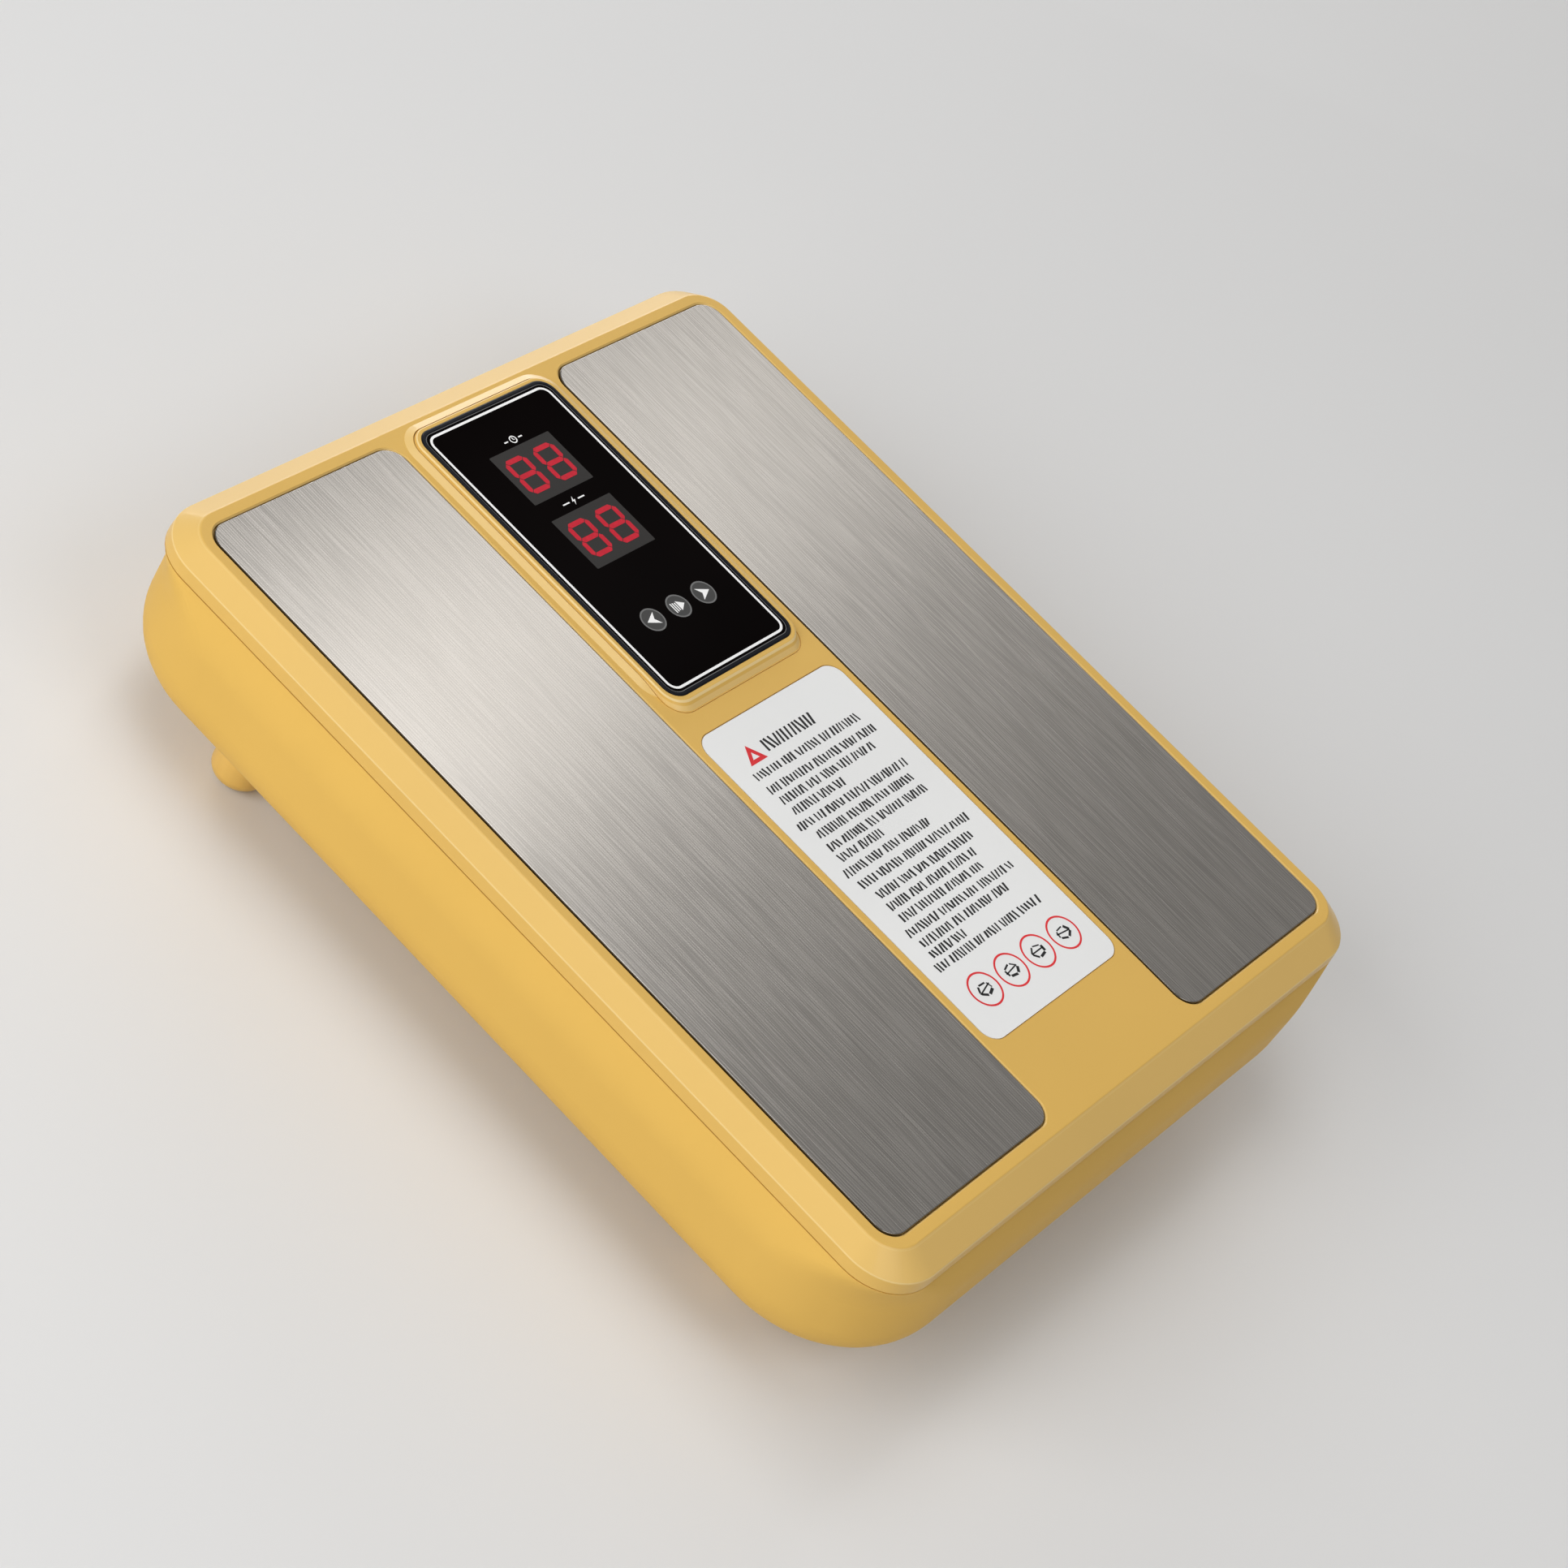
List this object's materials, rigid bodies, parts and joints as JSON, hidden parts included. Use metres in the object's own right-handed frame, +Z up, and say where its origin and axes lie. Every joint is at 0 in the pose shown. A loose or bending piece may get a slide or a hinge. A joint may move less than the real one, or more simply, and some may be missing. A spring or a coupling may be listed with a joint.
{
  "type": "foot therapy plate",
  "caption": "Low rounded gold box with brushed steel foot plates, a glass display with touch keys between them, and a rear mains inlet, switch and fuse.",
  "frame": {"origin": "on the floor, below the middle of the casing outline", "axes": "+Z up; +Y to the rear, where the display and the mains inlet are; +X to the right of a person whose heels are at the front"},
  "size_m": [0.2848, 0.3368, 0.0809],
  "materials": {
    "aluminium_fins": "extruded",
    "black_glass": "high gloss black",
    "black_rubber": "satin",
    "board_green": "solder mask",
    "brushed_plate": "brushed lengthways",
    "cable_grey": "flat cable",
    "can_sleeve": "printed sleeve",
    "chip_black": "moulded",
    "connector_white": "moulded",
    "contact_brass": "plated",
    "copper": "enamelled wire",
    "fan_black": "moulded",
    "ferrite": "sintered",
    "foot_rubber": "matt",
    "fuse_body": "clear tube",
    "gold_foot": "satin gold moulding",
    "gold_plastic": "satin gold moulding",
    "label_white": "smooth matt film",
    "led_grey": "smooth",
    "led_grey_low": "smooth",
    "pad_foam": "matt",
    "panel_black": "fine texture",
    "rocker_black": "moulded",
    "rotor_black": "moulded",
    "sensor_pad": "conductive rubber",
    "socket_black": "moulded",
    "tray_plastic": "natural",
    "winding_tape": "tape",
    "wire_black": "insulation",
    "wire_brown": "insulation",
    "wire_red": "insulation",
    "zinc": "zinc plated"
  },
  "bodies": {
    "casing": {"board_capacitors": "can_sleeve", "board_connectors": "connector_white", "board_screws": "zinc", "bottom_tub": "gold_plastic", "bulk_capacitor": "can_sleeve", "coil_leads": "wire_red", "controller_chip": "chip_black", "cover_screws": "zinc", "display_board": "board_green", "display_chip": "chip_black", "display_gasket": "black_rubber", "display_glass": "black_glass", "display_ribbon": "cable_grey", "display_screws": "zinc", "energy_led_module": "led_grey_low", "fan_frame": "fan_black", "fan_lead": "wire_black", "fan_screws": "zinc", "foot_pads": "foot_rubber", "foot_screws": "zinc", "front_feet": "gold_foot", "fuse_holder": "socket_black", "fuse_holder_nut": "socket_black", "heatsink": "aluminium_fins", "info_label": "label_white", "inlet_body": "socket_black", "inlet_pins": "contact_brass", "inlet_screws": "zinc", "left_coil": "copper", "left_coil_tray": "tray_plastic", "left_foot_plate": "brushed_plate", "left_plate_pad": "pad_foam", "main_board": "board_green", "mains_wires": "wire_brown", "panel_screws": "zinc", "plate_nuts": "zinc", "power_board": "board_green", "power_transistors": "chip_black", "rear_feet": "gold_foot", "rear_panel": "panel_black", "right_coil": "copper", "right_coil_tray": "tray_plastic", "right_foot_plate": "brushed_plate", "right_plate_pad": "pad_foam", "switch_body": "socket_black", "switch_terminals": "contact_brass", "time_led_module": "led_grey", "top_cover": "gold_plastic", "touch_sensors": "sensor_pad", "transformer_core": "ferrite", "transformer_winding": "winding_tape", "tray_screws": "zinc"},
    "rocker": {"switch_rocker": "rocker_black"},
    "fan": {"fan_rotor": "rotor_black"},
    "fuse_carrier": {"fuse_cap": "rocker_black", "fuse": "fuse_body"}
  },
  "joints": [
    {"name": "rocker_tilt", "type": "hinge", "parent": "casing", "child": "rocker", "pos_m": [-0.01, 0.156, 0.049], "axis": [1, 0, 0], "range_deg": [0, 20]},
    {"name": "fan_spin", "type": "hinge", "parent": "casing", "child": "fan", "pos_m": [-0.075, 0.066, 0.0353], "axis": [0, 0, 1], "continuous": true},
    {"name": "fuse_pull", "type": "slide", "parent": "casing", "child": "fuse_carrier", "axis": [0, 1, 0], "range_m": [0, 0.03]}
  ]
}
